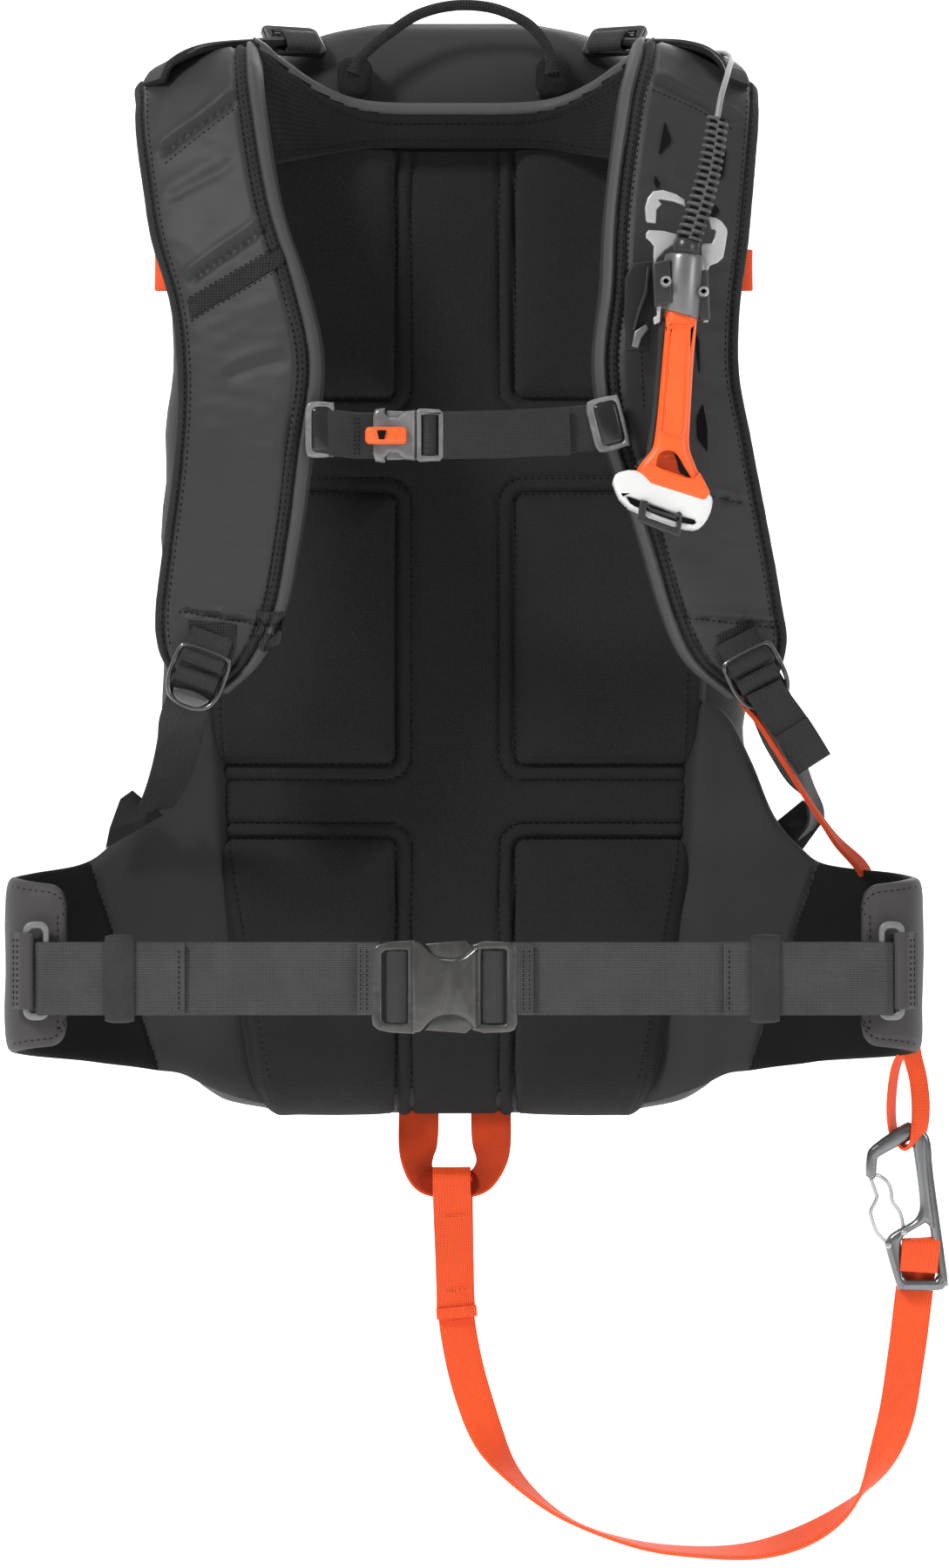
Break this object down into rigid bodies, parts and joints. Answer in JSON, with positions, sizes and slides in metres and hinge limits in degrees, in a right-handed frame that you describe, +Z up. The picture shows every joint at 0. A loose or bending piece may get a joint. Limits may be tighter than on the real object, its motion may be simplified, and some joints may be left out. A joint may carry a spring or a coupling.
{
  "type": "avalanche airbag backpack",
  "caption": "Ski-touring pack with padded harness, hip belt, leg strap with carabiner, sternum strap, pull-handle trigger, folded airbag and blower inside.",
  "frame": {"origin": "underside of the haul loop's crest, where a hook or hand holds the hanging pack", "axes": "+Z up; -Y towards the wearer, the side of the back panel; +X to the right as seen looking at the back panel, the side of the trigger"},
  "size_m": [0.4991, 0.3952, 0.8446],
  "materials": {
    "shell_fabric": "dark grey stretch woven, soft",
    "spacer_knit": "near-black spacer knit",
    "strap_satin": "satin woven face on foam",
    "black_webbing": "fine woven webbing",
    "orange_webbing": "orange woven webbing",
    "orange_plastic": "moulded, satin",
    "white_plastic": "moulded, satin",
    "black_gloss": "moulded, glossy",
    "buckle_grey": "moulded, marbled gloss",
    "rubber": "matt",
    "bright_metal": "satin",
    "anthracite_metal": "anodised, satin",
    "frame_plastic": "matt sheet"
  },
  "bodies": {
    "pack": {"pack_shell": "shell_fabric", "back_panel": "spacer_knit", "frame_sheet": "frame_plastic", "frame_stay": "bright_metal", "front_pocket": "shell_fabric", "airbag_folded": "orange_webbing", "blower_housing": "black_gloss", "blower_motor": "bright_metal", "capacitor_pack": "black_gloss", "yoke": "spacer_knit", "shoulder_strap_left": "strap_satin", "shoulder_strap_right": "strap_satin", "haul_loop": "spacer_knit", "load_lifter_left": "black_webbing", "load_lifter_right": "black_webbing", "lower_webbing_left": "black_webbing", "lower_webbing_right": "black_webbing", "hip_fin_left": "shell_fabric", "hip_fin_right": "shell_fabric", "belt_webbing_left": "black_webbing", "belt_webbing_right": "black_webbing", "belt_buckle_female": "buckle_grey", "trigger_clamp": "bright_metal", "trigger_rivet_upper": "bright_metal", "trigger_rivet_lower": "bright_metal", "trigger_bracket": "black_gloss", "trigger_hook_plate": "bright_metal", "cable_boot": "rubber", "trigger_collar": "black_gloss", "trigger_cable": "rubber", "harness_webbing_right": "orange_webbing", "side_tab_left": "orange_webbing", "side_tab_right": "orange_webbing", "gear_loop": "orange_webbing", "carabiner_body": "anthracite_metal", "leg_strap_anchor": "orange_webbing", "leg_strap": "orange_webbing"},
    "trigger_handle": {"handle_grip": "orange_plastic", "handle_rim": "white_plastic"},
    "trigger_bail": {"handle_bail": "buckle_grey"},
    "gate": {"carabiner_gate": "bright_metal"},
    "belt_male": {"belt_buckle_male": "buckle_grey"},
    "ring_left": {"belt_ring_left": "bright_metal"},
    "ring_right": {"belt_ring_right": "bright_metal"},
    "keeper_left": {"belt_keeper_left": "black_gloss"},
    "keeper_right": {"belt_keeper_right": "black_gloss"},
    "sternum_strap": {"sternum_slider_left": "black_gloss", "sternum_slider_right": "black_gloss", "sternum_webbing_left": "black_webbing", "sternum_webbing_right": "black_webbing", "sternum_buckle_female": "buckle_grey", "whistle": "orange_plastic"},
    "sternum_male": {"sternum_buckle_male": "buckle_grey"},
    "lock_left": {"ladder_lock_left": "black_gloss"},
    "lock_right": {"ladder_lock_right": "black_gloss"},
    "lifter_left": {"lifter_buckle_left": "black_gloss"},
    "lifter_right": {"lifter_buckle_right": "black_gloss"},
    "impeller": {"blower_impeller": "white_plastic"},
    "button": {"power_button": "orange_plastic"},
    "zip_slider": {"front_zip_slider": "black_gloss"}
  },
  "joints": [
    {"name": "trigger_pull", "type": "slide", "parent": "pack", "child": "trigger_handle", "axis": [-0.0698, 0, -0.9976], "range_m": [0, 0.045]},
    {"name": "bail_swing", "type": "hinge", "parent": "trigger_handle", "child": "trigger_bail", "pos_m": [0.1077, -0.1465, -0.282], "axis": [1, 0, 0], "range_deg": [0, 35]},
    {"name": "gate_open", "type": "hinge", "parent": "pack", "child": "gate", "pos_m": [0.2305, -0.04, -0.6557], "axis": [0, 1, 0], "range_deg": [0, 22], "stiffness_Nm_per_rad": 0.02, "springref_deg": -14.32},
    {"name": "belt_release", "type": "slide", "parent": "pack", "child": "belt_male", "axis": [1, 0, 0], "range_m": [0, 0.034], "deforming": ["belt_webbing_right"]},
    {"name": "ring_swing_left", "type": "hinge", "parent": "pack", "child": "ring_left", "pos_m": [-0.2205, -0.1055, -0.514], "axis": [0, 0, -1], "range_deg": [0, 25], "deforming": ["belt_webbing_left"]},
    {"name": "ring_swing_right", "type": "hinge", "parent": "pack", "child": "ring_right", "pos_m": [0.2315, -0.1055, -0.514], "axis": [0, 0, 1], "range_deg": [0, 25]},
    {"name": "keeper_slide_left", "type": "slide", "parent": "pack", "child": "keeper_left", "axis": [1, 0, 0], "range_m": [0, 0.08]},
    {"name": "keeper_slide_right", "type": "slide", "parent": "pack", "child": "keeper_right", "axis": [-1, 0, 0], "range_m": [0, 0.05]},
    {"name": "sternum_height", "type": "slide", "parent": "pack", "child": "sternum_strap", "axis": [0, 0, 1], "range_m": [-0.01, 0.025]},
    {"name": "sternum_release", "type": "slide", "parent": "sternum_strap", "child": "sternum_male", "axis": [1, 0, 0], "range_m": [0, 0.022], "deforming": ["sternum_webbing_right"]},
    {"name": "lock_tilt_left", "type": "hinge", "parent": "pack", "child": "lock_left", "pos_m": [-0.12923, -0.0965, -0.34847], "axis": [-0.9397, 0, 0.342], "range_deg": [0, 30], "deforming": ["lower_webbing_left"]},
    {"name": "lock_tilt_right", "type": "hinge", "parent": "pack", "child": "lock_right", "pos_m": [0.15249, -0.0965, -0.34937], "axis": [-0.8829, 0, -0.4695], "range_deg": [0, 30], "deforming": ["lower_webbing_right"]},
    {"name": "lifter_tilt_left", "type": "hinge", "parent": "pack", "child": "lifter_left", "pos_m": [-0.0902, 0.0246, -0.0049], "axis": [-0.9063, -0.4226, 0], "range_deg": [0, 20], "deforming": ["load_lifter_left"]},
    {"name": "lifter_tilt_right", "type": "hinge", "parent": "pack", "child": "lifter_right", "pos_m": [0.0902, 0.0246, -0.0049], "axis": [-0.9063, 0.4226, 0], "range_deg": [0, 20], "deforming": ["load_lifter_right"]},
    {"name": "impeller_spin", "type": "hinge", "parent": "pack", "child": "impeller", "pos_m": [-0.055, 0.081, -0.23], "axis": [0, 1, 0], "continuous": true},
    {"name": "power_press", "type": "slide", "parent": "pack", "child": "button", "axis": [0, -1, 0], "range_m": [0, 0.0012], "stiffness_N_per_m": 400},
    {"name": "zip_pull", "type": "slide", "parent": "pack", "child": "zip_slider", "axis": [0, 0, -1], "range_m": [0, 0.11]}
  ]
}
